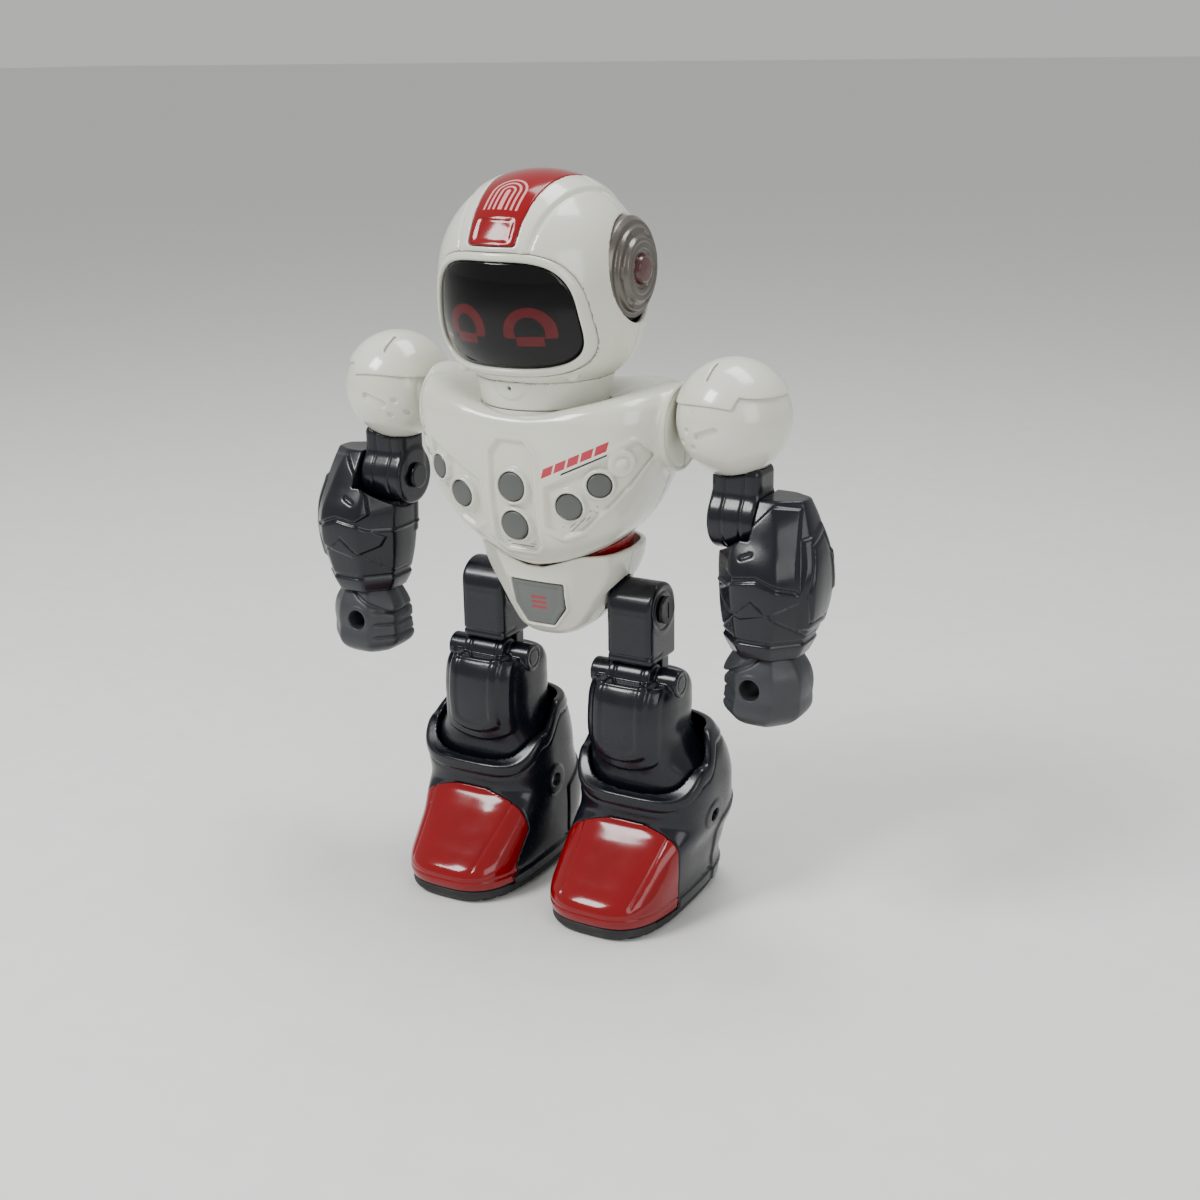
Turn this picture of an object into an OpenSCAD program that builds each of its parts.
// Battery-operated toy robot, about 27 cm tall, standing on two boots.
// Origin: centre of the bounding box at floor level. +Z up, the robot faces -Y, its left hand is on +X.

/* [Head] */
// Height of the middle of the helmet above the floor
head_z = 230; // [229.5:0.5:230.5]
// Radius of the helmet
head_r = 36; // [35.8:0.1:36.2]
// Radius of the round ear covers
ear_r = 17.5; // [17:0.5:18]
// Half width of the visor
visor_w = 26.5; // [26:0.5:27]
// Half height of the visor
visor_h = 17.5; // [17:0.5:18]

/* [Body] */
// Height of the shoulder axles
shoulder_z = 186; // [185.5:0.5:186.5]
// Distance of the shoulder balls from the middle
shoulder_x = 68.5; // [68:0.5:69]
// Radius of the shoulder balls
shoulder_r = 20.5; // [20:0.1:20.6]
// Wall thickness of the moulded shells
wall = 2; // [1.8:0.1:2.2]
// Radius of the two large chest buttons
button_r = 5.1; // [4.8:0.1:5.2]
// Travel of every chest button
button_travel = 1; // [0.5:0.1:1]

/* [Arms] */
// Height of the elbow axles
elbow_z = 152; // [151.5:0.5:152.5]
// Height of the wrist seam, where the hand meets the cuff
wrist_z = 108; // [107.5:0.5:108.5]
// Radius of the grip hole through each fist
grip_r = 3.7; // [3:0.1:4]

/* [Legs] */
// Distance of each leg from the middle
leg_x = 31; // [30.5:0.5:31.5]
// Height of the hip shaft
hip_z = 113; // [112.5:0.5:113.5]
// Height of the knee barrels
knee_z = 88; // [87.5:0.5:88.5]
// Height of the ankle pins
ankle_z = 36; // [35.5:0.5:36.5]
// Radius of the rollers in the soles
roller_r = 5; // [4.5:0.1:5]

/* [Hidden] */
$fn = 64;

WHITE = [0.86, 0.85, 0.79];
RED = [0.62, 0.07, 0.1];
NAVY = [0.11, 0.12, 0.16];
GREY = [0.32, 0.33, 0.31];
TAUPE = [0.36, 0.34, 0.32];
STEEL = [0.7, 0.7, 0.72];
BLACK = [0.06, 0.06, 0.07];
GREEN = [0.1, 0.32, 0.18];

gap = 0.3;          // between pieces of different bodies
run = 0.05;         // radial clearance of a shaft in its bore
seam = 0.1;         // half of the seam between two shells
big = 200;
head_y = -5;        // the neck axis is a little in front of the middle
neck_r = 22.3;
neck_z = 188;
chin_z = 197.5;
ear_y = -0.5;
ear_z = 234;
visor_z = 221.5;
crest_z = 244;
axle_r = 4;
cut_x = 49.9;       // inner face of a shoulder ball
elbow_r = 11;
elbow_x = 72;
forearm_x = 84;
pin_r = 3;
arm_y = 3;
grip_x = 82.5;
grip_z = 96;
hip_y = 6;
hip_r = 10;
thigh_w = 18.4;
knee_r = 5.5;
ankle_r = 2.5;
ankle_y = 8;
swing = 8;          // degrees each leg swings forwards and back

// Cross-sections of the moulded shells: [z, x, y, half width, half depth, squareness]
TORSO = [
    [130, 0, -11, 5, 6, 2.2], [133, 0, -7, 15, 13, 2.3], [137, 0, -4, 23.5, 19, 2.4],
    [142, 0, -3, 30.5, 23, 2.6], [150, 0, -1.5, 37.5, 26.5, 2.8], [160, 0, -1, 42.5, 28.5, 3],
    [170, 0, 0, 45.5, 29.5, 3], [180, 0, 0, 47.6, 29.8, 3], [187, 0, 0, 48, 29.3, 3],
    [192, 0, 0.5, 47.5, 27.5, 2.8], [195, 0, 1, 45.5, 24, 2.6], [196.5, 0, 1.5, 42, 19, 2.5]
];
PELVIS = [
    [102, 0, 3, 9, 11, 2.6], [105, 0, 4, 13, 15.5, 2.8], [110, 0, 5, 17, 18, 3], [117, 0, 5.5, 21.5, 19.5, 3],
    [124, 0, 6, 26, 21, 3], [129, 0, 6, 28, 22, 3], [135, 0, 5.5, 29, 22.8, 3]
];
WAIST = [[129, 0, 5.5, 25, 19, 2.6], [137, 0, 4, 26.3, 19.6, 2.6], [143, 0, 1.5, 28.5, 21, 2.6]];
FOREARM = [
    [wrist_z, forearm_x, 0, 12.5, 12.5, 3], [111, 84, 0, 14, 14, 3], [119, 84.5, 0.5, 16.5, 16.5, 2.8],
    [129, 85, 1, 18, 18.5, 2.6], [140, 84.5, 1.5, 18, 18, 2.6], [148, 83.5, 2.5, 17.2, 15, 2.6],
    [156, 82.5, 3, 15.5, 11.5, 2.6], [161, 82, 3, 14, 8, 2.6]
];
HAND = [
    [81.5, 83.5, 0, 8, 9, 3], [83.5, 83.5, 0, 11.5, 12, 3], [93, 84, 0, 14.5, 13.5, 3.2],
    [101, 84, 0, 14, 13, 3], [wrist_z - gap, forearm_x, 0, 10.5, 10.5, 2.6]
];
SHIN = [
    [28, leg_x, ankle_y, 9, 8, 2.5], [40, leg_x + 1, ankle_y + 1, 15, 15, 2.6], [47, leg_x + 2.4, 9.6, 20.4, 16.6, 2.8],
    [53, leg_x + 2.2, 9, 20.2, 16.8, 2.8], [60, leg_x + 1, 7, 18.2, 17.2, 2.8], [67, leg_x, 5.5, 17.3, 17.4, 3],
    [77, leg_x, 5.5, 17.3, 17.4, 3], [84, leg_x, 6, 16.6, 16.4, 3], [86.5, leg_x, 6, 15.6, 15, 3]
];
BOOT = [
    [5, leg_x, 0.7, 23.5, 38.3, 3], [9, leg_x, 0.7, 24, 39.3, 3], [13, leg_x, 1, 24, 38.3, 3],
    [18, leg_x + 0.3, 4.2, 24.2, 35.3, 3.2], [24, leg_x + 0.8, 7.9, 24.6, 31.1, 3.4],
    [30, leg_x + 2, 11.1, 25.6, 26.9, 3.5], [34, leg_x + 2.6, 12.5, 26, 24.5, 3.3], [42, leg_x + 3.2, 11.8, 26.6, 23.8, 3],
    [50, leg_x + 3.2, 11, 26.6, 23.5, 3], [58, leg_x + 2.6, 10.8, 25.2, 22.8, 2.8], [66, leg_x + 1, 11, 22, 20, 2.5]
];
SOLE = [[0, leg_x, 0.7, 21.5, 36.3, 3], [1.5, leg_x, 0.7, 23, 37.8, 3], [5, leg_x, 0.7, 23.6, 38.4, 3]];

// Chest buttons: [x, y of the surface, z, turn to the side, radius]
BUTTONS = [
    [0, -29.3, 162, 0, button_r], [0, -28.2, 148, 0, button_r],
    [21.5, -27.6, 157, 12, button_r - 0.5], [32, -25.1, 165, 26, button_r - 1]
];
DOME = [38.8, -21.6, 172.5, 40, 3.4];
toe_back = -11;     // where the red toe cap meets the boot
toe_top = 40;
RIM_STEPS = [[47, -2], [56, 8]];    // the boot is open above each height, in front of each y
door_w = 31;
door_low = 143.5;
door_high = 182;
screw_z = 146.3;
cell_r = 5.25;      // AAA cells
cell_l = 44.5;
cell_y = 15;
CELL_Z = [154.6, 165.2, 175.8];
POSTS = [[36, 158], [38, 178]];     // screw posts that join the torso shells: [x, z]
BOARD_POSTS = [[26.3, 150.2], [26, 172]];

// ---- shared shapes -------------------------------------------------------

function ring_point(angle, s) = [
    s[1] + s[3] * sign(cos(angle)) * pow(abs(cos(angle)), 2 / s[5]),
    s[2] + s[4] * sign(sin(angle)) * pow(abs(sin(angle)), 2 / s[5]),
    s[0]
];
function inset(sections, t) = [for (s = sections) [s[0], s[1], s[2], s[3] - t, s[4] - t, s[5]]];
// The same, drawn a little past both ends, to open a shell at its top and bottom
function tunnel(sections, t) = let(last = len(sections) - 1, inner = inset(sections, t))
    [for (k = [0:last]) [inner[k][0] + (k == last ? 1 : k == 0 ? -1 : 0), each [for (i = [1:5]) inner[k][i]]]];

// Closed solid through a stack of rounded-rectangle sections
module loft(sections, n = 36) {
    rings = len(sections);
    points = [for (s = sections) for (i = [0:n - 1]) ring_point(360 * (i + 0.5) / n, s)];
    sides = [for (k = [0:rings - 2]) for (i = [0:n - 1]) let(j = (i + 1) % n)
        each [[k * n + i, (k + 1) * n + i, (k + 1) * n + j], [k * n + i, (k + 1) * n + j, k * n + j]]];
    bottom = [[for (i = [0:n - 1]) i]];
    top = [[for (i = [n - 1:-1:0]) (rings - 1) * n + i]];
    polyhedron(points = points, faces = concat(bottom, top, sides), convexity = 6);
}

module x_rod(r, from, to, y, z) {
    translate([from, y, z]) rotate([0, 90, 0]) cylinder(r = r, h = to - from);
}

module y_rod(r, x, from, to, z) {
    translate([x, to, z]) rotate([90, 0, 0]) cylinder(r = r, h = to - from);
}

module block(low, high) {
    translate(low) cube(high - low);
}

module side(s) {
    mirror([s < 0 ? 1 : 0, 0, 0]) children();
}

// ---- head ----------------------------------------------------------------

function helmet_radius(dz, r) = r * pow(1 - pow(min(1, abs(dz) / r), dz < 0 ? 3 : 2.05), dz < 0 ? 1 / 3 : 1 / 2.05);
function helmet_profile(r, low) = [for (i = [0:30]) let(dz = low + (r - low) * sin(90 * i / 30)) [helmet_radius(dz, r), dz]];

module helmet_solid(r, low) {
    translate([0, head_y, head_z]) rotate_extrude($fn = 72)
        polygon(concat([[0, low]], helmet_profile(r, low)));
}

module helmet_wall(outer, inner) {
    difference() {
        helmet_solid(outer, chin_z - head_z);
        helmet_solid(inner, chin_z - head_z - 1);
    }
}

// Rounded outline of the visor in the XZ plane, wider towards the cheeks
function visor_outline(grow) = [for (i = [0:47]) let(a = 7.5 * i, c = cos(a), s = sin(a),
    z = (visor_h + grow) * sign(s) * pow(abs(s), 0.62),
    x = (visor_w + grow) * sign(c) * pow(abs(c), 0.5) * (1 - 0.09 * z / visor_h)) [x, z + visor_z]];

module visor_prism(grow) {
    rotate([90, 0, 0]) linear_extrude(height = 60) polygon(visor_outline(grow));
}

module crest_prism(grow) {
    translate([0, head_y, head_z]) linear_extrude(height = 50)
        polygon([
            [-8.6 - grow, -34], [8.6 + grow, -34], [13 + grow, 2],
            [11 + grow, 26 + grow], [-11 - grow, 26 + grow], [-13 - grow, 2]
        ]);
}

module crest_zone(grow) {
    intersection() {
        crest_prism(grow);
        block([-big, -big, crest_z - grow], [big, big, 300]);
    }
}

module ear_zone(grow) {
    for (s = [-1, 1]) side(s) x_rod(ear_r + grow, 28 - grow, 60, ear_y, ear_z);
}

module helmet_shell() {
    difference() {
        helmet_wall(head_r, head_r - wall);
        visor_prism(2.6);
        crest_zone(0.2);
        ear_zone(0.2);
    }
}

module helmet_front() {
    color(WHITE) difference() {
        helmet_shell();
        block([-big, head_y + 4 - seam, 0], [big, big, 300]);
    }
}

module helmet_rear() {
    color(WHITE) {
        difference() {
            helmet_shell();
            block([-big, -big, 0], [big, head_y + 4 + seam, 300]);
        }
        for (x = [-14, 14]) y_rod(2.5, x, 3, head_y + 31, head_z - 8);
    }
}

module visor_bezel() {
    color(WHITE) intersection() {
        difference() {
            visor_prism(2.4);
            visor_prism(0.2);
        }
        helmet_wall(head_r + 0.4, head_r - 3);
    }
}

module visor() {
    color(BLACK) intersection() {
        visor_prism(0);
        helmet_wall(head_r - 0.9, head_r - 2.5);
    }
}

module eye_display() {
    color(BLACK) intersection() {
        visor_prism(-1);
        helmet_wall(head_r - 3.6, head_r - 5);
    }
}

// One smiling eye: an arch over a short bar
module eye_shape() {
    difference() {
        circle(r = 8);
        circle(r = 5);
        translate([-10, -10]) square([20, 8]);
    }
    translate([-4, -4.6]) square([8, 3]);
}

module eye_lights() {
    color(RED) intersection() {
        for (s = [-1, 1]) side(s) translate([11.8, 0, visor_z - 5]) rotate([90, 0, 0]) linear_extrude(height = 60) eye_shape();
        helmet_wall(head_r - 2.7, head_r - 3.5);
    }
}

module crest_panel() {
    color(RED) intersection() {
        crest_zone(0);
        helmet_wall(head_r + 0.5, head_r - 1.5);
    }
}

module ear(s) {
    color(TAUPE) side(s) translate([0, ear_y, ear_z]) rotate([0, 90, 0]) rotate_extrude()
        polygon([
            [0, 28.2], [ear_r, 28.2], [ear_r, 31.5], [ear_r - 1.4, 33], [ear_r - 3.2, 33], [ear_r - 3.7, 34.6],
            [ear_r - 6.4, 34.6], [ear_r - 6.9, 36.2], [6.6, 36.2], [6.1, 35], [4.8, 35], [4.3, 37.6], [0, 37.6]
        ]);
}

// Neck: an inverted cone that turns with the helmet, with the journal that hangs in the collar
module head_base() {
    color(WHITE) difference() {
        translate([0, head_y, 0]) {
            difference() {
                translate([0, 0, neck_z + gap]) cylinder(r1 = neck_r, r2 = 24.8, h = 12);
                translate([0, 0, neck_z + 2]) cylinder(r = 12.5, h = 24);
            }
            translate([0, 0, 183.5]) cylinder(r = 15, h = 6);
            translate([0, 0, 182]) cylinder(r = 17.5, h = 1.7);
        }
        translate([0, head_y, 170]) cylinder(r = 12.5, h = 40);
        helmet_solid(head_r + 0.05, chin_z - head_z - 0.05);
        y_rod(0.6, 0, -32, -14, 195.5);
    }
}

// ---- body ----------------------------------------------------------------

// Dish round the neck that the helmet turns over
module neck_dish(drop) {
    translate([0, head_y, neck_z - drop]) cylinder(r1 = neck_r + gap, r2 = 60, h = 19);
}

module torso_cavity() {
    difference() {
        loft(inset(TORSO, wall));
        neck_dish(1.2 * wall);
        block([-big, -big, shoulder_z + 8.5], [big, big, 300]);
        block([-big, -big, 0], [big, big, 132]);
    }
}

module torso_wall() {
    difference() {
        union() {
            difference() {
                union() {
                    loft(TORSO);
                    for (s = [-1, 1]) side(s) x_rod(15.5, 42, cut_x - 0.4, arm_y, shoulder_z - 5);
                }
                torso_cavity();
            }
            for (s = [-1, 1]) side(s) x_rod(7, 40, 46.2, arm_y, shoulder_z);
        }
        neck_dish(0);
        translate([0, head_y, neck_z - 4]) cylinder(r = neck_r, h = 10);
        for (s = [-1, 1]) side(s) x_rod(axle_r + 0.02, 30, 60, arm_y, shoulder_z);
        block([-24, -6.3, 100], [24, 20, 134.2]);
    }
}

module at_button(b) {
    translate([b[0], b[1], b[2]]) rotate([0, 0, b[3]]) rotate([90, 0, 0]) children();
}

module button_rims() {
    for (b = BUTTONS) for (s = b[0] > 0 ? [-1, 1] : [1]) side(s) at_button(b)
        translate([0, 0, -3]) cylinder(r = b[4] + 1.6, h = 3.6);
    for (s = [-1, 1]) side(s) at_button(DOME) translate([0, 0, -3]) cylinder(r = DOME[4] + 1.2, h = 3.6);
}

module button_holes() {
    for (b = BUTTONS) for (s = b[0] > 0 ? [-1, 1] : [1]) side(s) at_button(b)
        translate([0, 0, -8]) cylinder(r = b[4] + gap, h = 16);
}

// A post of radius r from y = from, ended by the torso's own outside
module shell_post(r, x, from, to, z) {
    intersection() {
        y_rod(r, x, from, to, z);
        loft(inset(TORSO, 0.5));
    }
}

module torso_front() {
    color(WHITE) difference() {
        union() {
            difference() {
                torso_wall();
                block([-big, 4 - seam, 0], [big, big, 300]);
            }
            button_rims();
            for (s = [-1, 1]) side(s) {
                for (b = BOARD_POSTS) shell_post(2.2, b[0], -30, -14, b[1]);
                for (b = POSTS) shell_post(2.8, b[0], -30, 4 - seam, b[1]);
            }
            x_rod(3, 31, 42.5, -3, 166);
        }
        button_holes();
        for (s = [-1, 1]) side(s) for (b = POSTS) y_rod(1.3, b[0], -6, 5, b[1]);
    }
}

module door_zone(grow) {
    block([-door_w - grow, 10, door_low - grow], [door_w + grow, 60, door_high + grow]);
}

module torso_rear() {
    color(WHITE) difference() {
        union() {
            difference() {
                torso_wall();
                block([-big, -big, 0], [big, 4 + seam, 300]);
            }
            for (s = [-1, 1]) side(s) for (b = POSTS) shell_post(3.4, b[0], 4 + seam, 40, b[1]);
        }
        door_zone(gap);
        block([-3.9, 20, 184.2], [4.4, 40, 188.6]);
        for (s = [-1, 1]) side(s) for (b = POSTS) {
            y_rod(1.3, b[0], 0, 40, b[1]);
            y_rod(2.8, b[0], 12.6, 40, b[1]);
        }
    }
}

module battery_door() {
    color(WHITE) difference() {
        union() {
            difference() {
                intersection() {
                    loft(TORSO);
                    door_zone(0);
                }
                loft(inset(TORSO, wall));
            }
            intersection() {
                shell_post(3.6, 0, 18.8, 40, screw_z);
                door_zone(0);
            }
        }
        y_rod(1.6, 0, 10, 60, screw_z);
        y_rod(2.9, 0, 21, 60, screw_z);
    }
}

module door_screw() {
    color(STEEL) difference() {
        union() {
            y_rod(1.48, 0, 11, 21, screw_z);
            y_rod(2.6, 0, 21, 22.5, screw_z);
        }
        block([-0.4, 21.9, screw_z - 2], [0.4, 24, screw_z + 2]);
        block([-2, 21.9, screw_z - 0.4], [2, 24, screw_z + 0.4]);
    }
}

module power_switch() {
    color(BLACK) {
        block([-3.5, 25, 184.6], [1, 30.2, 188.2]);
        block([-6.5, 23.2, 183.6], [4, 25.2, 188.4]);
    }
}

module neck_collar() {
    color(WHITE) difference() {
        translate([0, head_y, neck_z - 4]) cylinder(r = neck_r, h = 4);
        translate([0, head_y, 170]) cylinder(r = 15 + run, h = 30);
    }
}

module waist_band() {
    color(RED) difference() {
        loft(WAIST);
        loft(inset(WAIST, 3));
        loft(inset(TORSO, -0.05));
    }
}

module thigh_clearance() {
    inner = leg_x - thigh_w / 2 - 2 * gap;
    reach = hip_r + 1 + (hip_z - 93) * tan(swing);
    for (s = [-1, 1]) side(s) {
        x_rod(hip_r + 1, inner, 60, hip_y, hip_z);
        block([inner, hip_y - reach, 80], [60, hip_y + reach, hip_z]);
    }
}

module pelvis_wall() {
    difference() {
        loft(PELVIS);
        intersection() {
            loft(inset(PELVIS, wall));
            block([-big, -big, 104], [big, big, 300]);
        }
        thigh_clearance();
        x_rod(pin_r + 0.02, -60, 60, hip_y, hip_z);
        loft(inset(WAIST, -0.05));
        loft(inset(TORSO, -seam));
    }
}

module pelvis_front() {
    color(WHITE) difference() {
        pelvis_wall();
        block([-big, 4 - seam, 0], [big, big, 300]);
        badge_prism(0.1);
    }
}

module pelvis_rear() {
    color(WHITE) difference() {
        pelvis_wall();
        block([-big, -big, 0], [big, 4 + seam, 300]);
    }
}

// Shield outline of the belt badge in the XZ plane
module badge_prism(grow) {
    translate([0, -4, 0]) rotate([90, 0, 0]) linear_extrude(height = 16)
        polygon([
            [-10.6 - grow, 123.6 + grow], [10.6 + grow, 123.6 + grow], [10 + grow, 114],
            [5.5 + grow, 107.5 - grow], [-5.5 - grow, 107.5 - grow], [-10 - grow, 114]
        ]);
}

module belt_badge() {
    color(GREY) intersection() {
        badge_prism(0);
        difference() {
            loft(inset(PELVIS, -0.4));
            loft(inset(PELVIS, 1.4));
        }
    }
}

module hip_chassis() {
    color(BLACK) difference() {
        union() {
            block([-10, -6, 108.5], [10, 17.5, 133]);
            intersection() {
                loft(inset(WAIST, 3.02));
                block([-30, -6, 131], [30, 17.5, 133]);
            }
        }
        block([-8.8, -4.8, 109.7], [8.8, 16.3, 140]);
        x_rod(pin_r + 0.02, -20, 20, hip_y, hip_z);
    }
}

module hip_shaft() {
    end = leg_x + thigh_w / 2 + 2;
    color(STEEL) difference() {
        union() {
            x_rod(pin_r, -end, end, hip_y, hip_z);
            for (s = [-1, 1]) side(s) x_rod(5, end - 1.3, end, hip_y, hip_z);
        }
        for (s = [-1, 1]) side(s) block([end - 0.5, hip_y - 0.5, hip_z - 3], [end + 1, hip_y + 0.5, hip_z + 3]);
    }
}

module gearbox() {
    color(GREY) difference() {
        block([-8.7, -4.7, 109.8], [8.7, 16.2, 134]);
        x_rod(pin_r + 0.02, -20, 20, hip_y, hip_z);
    }
}

module drive_motor() {
    color(STEEL) {
        translate([0, -3, 137]) cylinder(r = 8.8, h = 24);
        translate([0, -1, 134.05]) cylinder(r = 3.5, h = 4);
    }
}

module main_board() {
    color(GREEN) difference() {
        block([-28, -14, 147], [28, -12.4, 176]);
        for (s = [-1, 1], b = BOARD_POSTS) y_rod(1.2, s * b[0], -20, -10, b[1]);
    }
    color(BLACK) block([-6, -12.45, 163], [6, -10.8, 172]);
}

module speaker() {
    color(BLACK) {
        x_rod(9, 29.5, 31, -3, 166);
        x_rod(5.5, 23.5, 29.6, -3, 166);
    }
}

module battery_box() {
    half = cell_l / 2 + 1.2;
    color(BLACK) difference() {
        union() {
            intersection() {
                block([-half - 1.6, 8.5, CELL_Z[0] - cell_r - 1.2], [half + 1.6, 20.5, 181.8]);
                loft(inset(TORSO, wall + gap));
            }
            block([-4, 8.5, 143], [4, 18.5, CELL_Z[0] - cell_r]);
        }
        for (z = CELL_Z) x_rod(cell_r + 0.1, -half, half, cell_y, z);
        block([-half, cell_y, CELL_Z[0] - cell_r], [half, 40, 181]);
        y_rod(1.52, 0, 5, 40, screw_z);
        y_rod(4, 0, 18.4, 40, screw_z);
    }
}

module batteries() {
    color(STEEL) for (k = [0:2]) translate([0, cell_y, CELL_Z[k]]) rotate([0, 0, 180 * k]) {
        x_rod(cell_r - 0.1, -cell_l / 2, cell_l / 2 - 1, 0, 0);
        x_rod(1.9, cell_l / 2 - 1.1, cell_l / 2, 0, 0);
    }
}

module torso_screws() {
    color(STEEL) for (s = [-1, 1], b = POSTS) {
        y_rod(1.28, s * b[0], -4, 12.7, b[1]);
        y_rod(2.6, s * b[0], 12.6, 14.2, b[1]);
    }
}

module shoulder_axles() {
    color(STEEL) for (s = [-1, 1]) side(s) {
        x_rod(axle_r, 40, 62, arm_y, shoulder_z);
        x_rod(6, 61.9, 63.5, arm_y, shoulder_z);
    }
}

module chest_button(k) {
    b = BUTTONS[k];
    color(GREY) at_button(b) {
        translate([0, 0, -6]) cylinder(r = b[4], h = 6 + button_travel);
        translate([0, 0, -7]) cylinder(r = b[4] + 1.2, h = 1.6);
    }
}

// ---- arms ----------------------------------------------------------------

module ball(r) {
    translate([shoulder_x, arm_y, shoulder_z]) sphere(r = r);
}

module cap_zone() {
    block([0, -60, shoulder_z + 6], [120, 60, 300]);
}

module shoulder_shell(s) {
    color(WHITE) side(s) difference() {
        union() {
            difference() {
                ball(shoulder_r - 0.9);
                ball(shoulder_r - 3);
                block([0, -big, 0], [cut_x, big, 300]);
            }
            intersection() {
                x_rod(9, cut_x, 61.4, arm_y, shoulder_z);
                ball(shoulder_r - 1);
            }
        }
        x_rod(axle_r + run, 48, 62, arm_y, shoulder_z);
        translate([elbow_x, arm_y, 150]) cylinder(r = 7.05, h = 22);
    }
}

module shoulder_cap(s) {
    color(WHITE) side(s) difference() {
        intersection() {
            ball(shoulder_r);
            cap_zone();
        }
        ball(shoulder_r - 0.8);
        block([0, -big, 0], [cut_x, big, 300]);
    }
}

// Neck from the shoulder ball down to the elbow knuckle
module upper_arm(s) {
    flange_z = shoulder_z - 12.5;
    color(NAVY) side(s) difference() {
        union() {
            x_rod(elbow_r, elbow_x - 9, elbow_x + 9, arm_y, elbow_z);
            translate([elbow_x, arm_y, elbow_z]) cylinder(r = 7, h = flange_z - elbow_z + 1);
            difference() {
                block([elbow_x - 9, arm_y - 7.5, elbow_z], [elbow_x + 9, arm_y + 7.5, elbow_z + 19]);
                ball(shoulder_r - 0.6);
            }
            translate([elbow_x, arm_y, flange_z]) cylinder(r = 8.6, h = 3);
        }
        x_rod(pin_r + run, elbow_x - 11, elbow_x + 11, arm_y, elbow_z);
    }
}

// Armoured sleeve: its outer wall carries the elbow pin, and the head of the pin is on the inner side
module forearm(s) {
    slot_low = elbow_x - 9.3;
    slot_high = elbow_x + 9.3;
    color(NAVY) side(s) difference() {
        union() {
            difference() {
                loft(FOREARM);
                block([0, -big, elbow_z - 1], [slot_high, big, 170]);
                x_rod(elbow_r + 0.6, 0, slot_high, arm_y, elbow_z);
                x_rod(elbow_r + 8, 0, slot_high, arm_y, elbow_z + 7);
            }
            x_rod(pin_r, slot_low - 1.5, slot_high + 1, arm_y, elbow_z);
            x_rod(4.8, slot_low - 1.8, slot_low, arm_y, elbow_z);
        }
        translate([forearm_x, 0, wrist_z - 1]) cylinder(r = 5 + run, h = 13);
    }
}

module hand(s) {
    color(NAVY) side(s) difference() {
        union() {
            loft(HAND);
            translate([forearm_x, 0, wrist_z - 2]) cylinder(r = 5, h = 13);
        }
        y_rod(grip_r, grip_x, -30, 30, grip_z);
    }
}

// ---- legs ----------------------------------------------------------------

module thigh(s) {
    low = knee_z + knee_r + 0.1;
    color(NAVY) side(s) difference() {
        union() {
            x_rod(hip_r, leg_x - thigh_w / 2, leg_x + thigh_w / 2, hip_y, hip_z);
            block([leg_x - thigh_w / 2, hip_y - hip_r, low], [leg_x + thigh_w / 2, hip_y + hip_r, hip_z]);
            block([leg_x - 8, hip_y + 1, 74], [leg_x + 8, hip_y + 7, low + 1]);
        }
        x_rod(pin_r + run, 0, 60, hip_y, hip_z);
    }
}

module knee_barrel() {
    x_rod(knee_r, leg_x - 8.6, leg_x + 8.6, hip_y - 5, knee_z);
    x_rod(5, leg_x - 17.6, leg_x + 17.6, hip_y - 2, knee_z - 1.5);
}

module shin(s) {
    color(NAVY) side(s) difference() {
        union() {
            loft(SHIN, 32);
            knee_barrel();
        }
        block([leg_x - 8.1, hip_y + 0.9, 73.9], [leg_x + 8.1, hip_y + 7.1, 100]);
        x_rod(ankle_r + run, 0, 60, ankle_y, ankle_z);
    }
}

module toe_zone(grow) {
    block([leg_x - 22.3 - grow, -60, 5.1 - grow], [60, toe_back + grow, toe_top + grow]);
}

module boot(s) {
    color(NAVY) side(s) difference() {
        loft(BOOT, 32);
        loft(tunnel(BOOT, wall), 32);
        toe_zone(0.1);
        for (r = RIM_STEPS) block([0, -60, r[0]], [60, r[1], 80]);
        x_rod(ankle_r, 0, 60, ankle_y, ankle_z);
    }
}

module toe_cap(s) {
    color(RED) side(s) difference() {
        intersection() {
            loft(BOOT, 32);
            toe_zone(0);
        }
        loft(inset(BOOT, wall), 32);
    }
}

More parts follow.
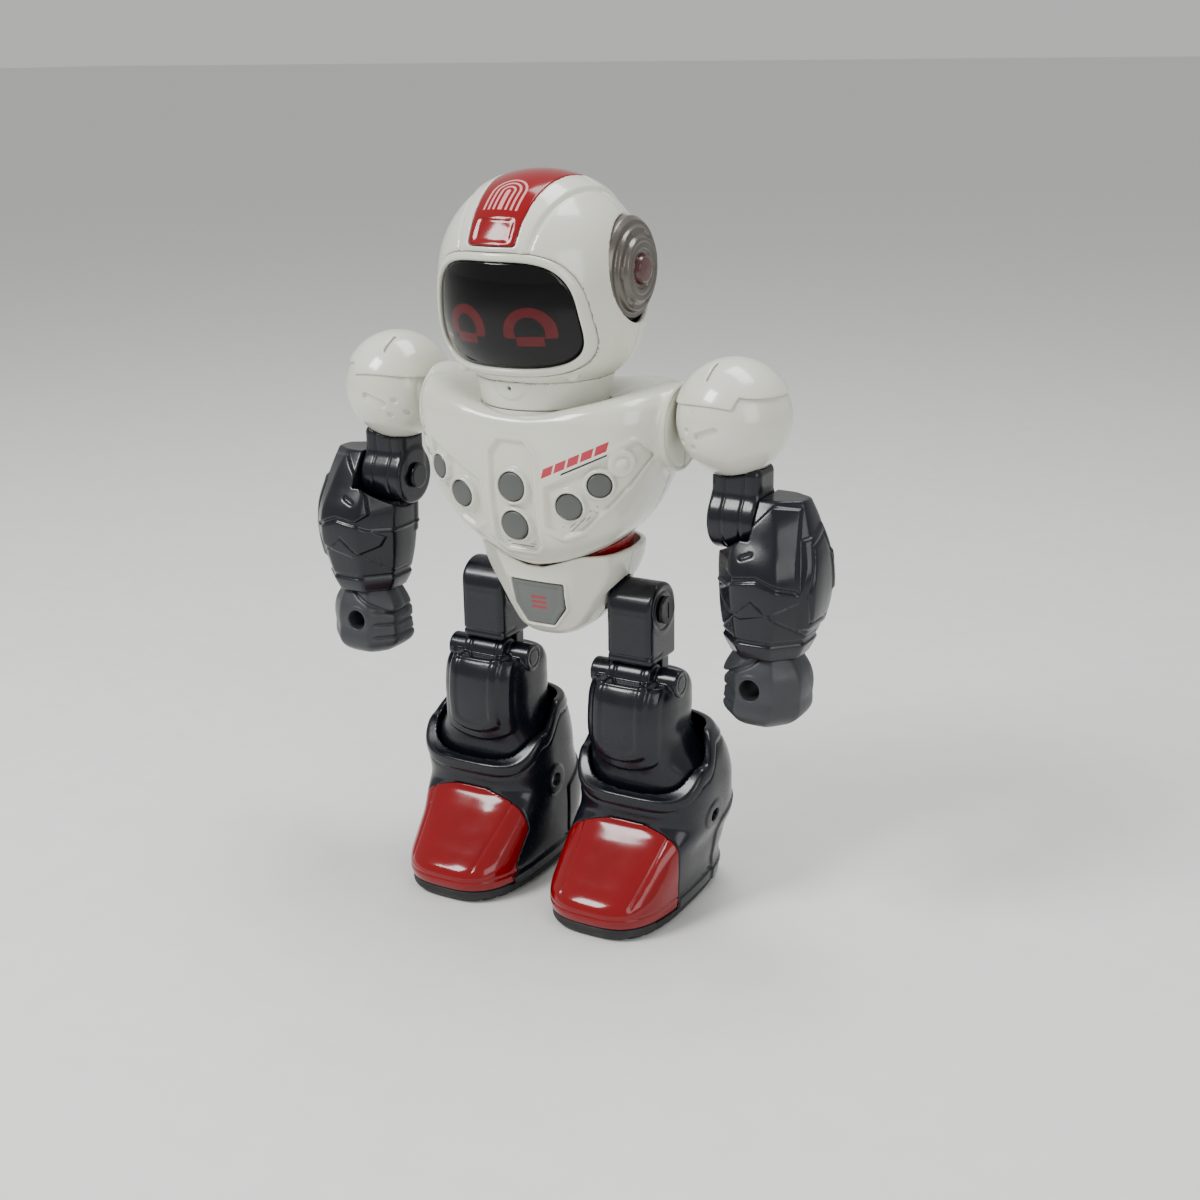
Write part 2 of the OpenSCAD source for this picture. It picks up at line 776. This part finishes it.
module sole(s) {
    color(BLACK) side(s) difference() {
        loft(SOLE, 32);
        block([leg_x - 7.5, -8, -1], [leg_x + 7.5, 4, 6]);
        x_rod(1.02, leg_x - 12, leg_x + 12, -2, roller_r);
        block([leg_x - 12, -3.02, 5], [leg_x + 12, -0.98, 6]);
    }
}

module roller(s) {
    color(BLACK) side(s) difference() {
        x_rod(roller_r, leg_x - 6.5, leg_x + 6.5, -2, roller_r);
        x_rod(1 + run, 0, 60, -2, roller_r);
        x_rod(roller_r + 1, leg_x - 1, leg_x + 1, -2, roller_r);
    }
}

module foot_pins(s) {
    color(STEEL) side(s) {
        x_rod(ankle_r - 0.02, leg_x - 22.4, leg_x + 25.6, ankle_y, ankle_z);
        x_rod(1, leg_x - 11.5, leg_x + 11.5, -2, roller_r);
    }
}

torso_front();
torso_rear();
neck_collar();
waist_band();
pelvis_front();
pelvis_rear();
belt_badge();
hip_chassis();
hip_shaft();
gearbox();
drive_motor();
main_board();
speaker();
battery_box();
batteries();
torso_screws();
shoulder_axles();
battery_door();
door_screw();
power_switch();
helmet_front();
helmet_rear();
crest_panel();
visor();
visor_bezel();
eye_display();
eye_lights();
ear(1);  // ear_left
ear(-1);  // ear_right
head_base();
chest_button(0);  // button_upper
chest_button(1);  // button_lower
chest_button(2);  // button_inner_left
side(-1) chest_button(2);  // button_inner_right
chest_button(3);  // button_outer_left
side(-1) chest_button(3);  // button_outer_right
shoulder_shell(1);  // shoulder_shell_left
shoulder_cap(1);  // shoulder_cap_left
upper_arm(1);  // upper_arm_left
forearm(1);  // forearm_left
hand(1);  // hand_left
shoulder_shell(-1);  // shoulder_shell_right
shoulder_cap(-1);  // shoulder_cap_right
upper_arm(-1);  // upper_arm_right
forearm(-1);  // forearm_right
hand(-1);  // hand_right
thigh(1);  // thigh_left
shin(1);  // shin_left
boot(1);  // boot_left
toe_cap(1);  // toe_cap_left
sole(1);  // sole_left
roller(1);  // roller_left
foot_pins(1);  // foot_pins_left
thigh(-1);  // thigh_right
shin(-1);  // shin_right
boot(-1);  // boot_right
toe_cap(-1);  // toe_cap_right
sole(-1);  // sole_right
roller(-1);  // roller_right
foot_pins(-1);  // foot_pins_right
